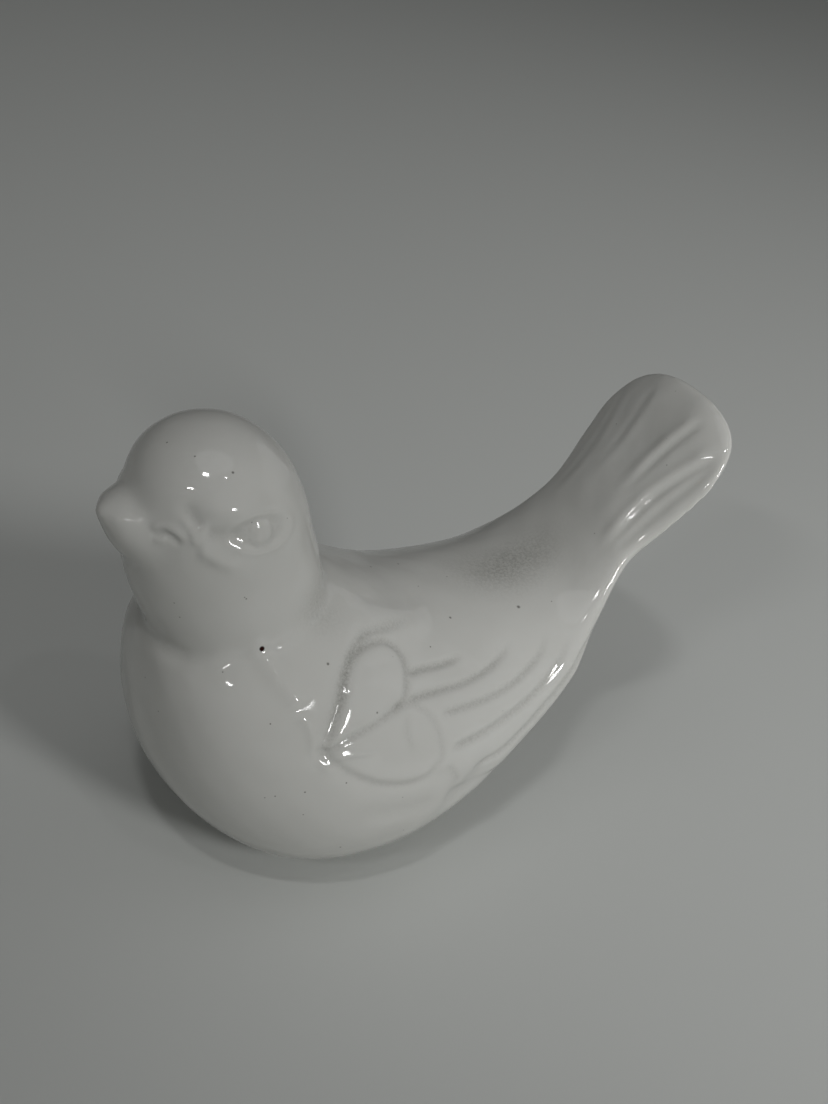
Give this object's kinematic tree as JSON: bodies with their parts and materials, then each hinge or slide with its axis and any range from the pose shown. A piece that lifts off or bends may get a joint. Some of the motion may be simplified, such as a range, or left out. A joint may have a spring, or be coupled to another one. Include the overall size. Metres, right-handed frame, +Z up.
{
  "type": "ceramic bird figurine",
  "caption": "Small white glazed ceramic bird with folded wings, a raised paddle tail and its head lifted, standing on a flat foot.",
  "frame": {"origin": "on the level of the flat foot, under the middle of the bird's bounding box", "axes": "the beak points to -Y and the tail to +Y, the bird's left side is +X, +Z is up"},
  "size_m": [0.0658, 0.126, 0.0899],
  "materials": {
    "white_glaze": "glossy white glaze over a slip-cast body, with fine specks and a dull unglazed foot"
  },
  "bodies": {
    "root": {"bird_figurine": "white_glaze"}
  },
  "joints": []
}
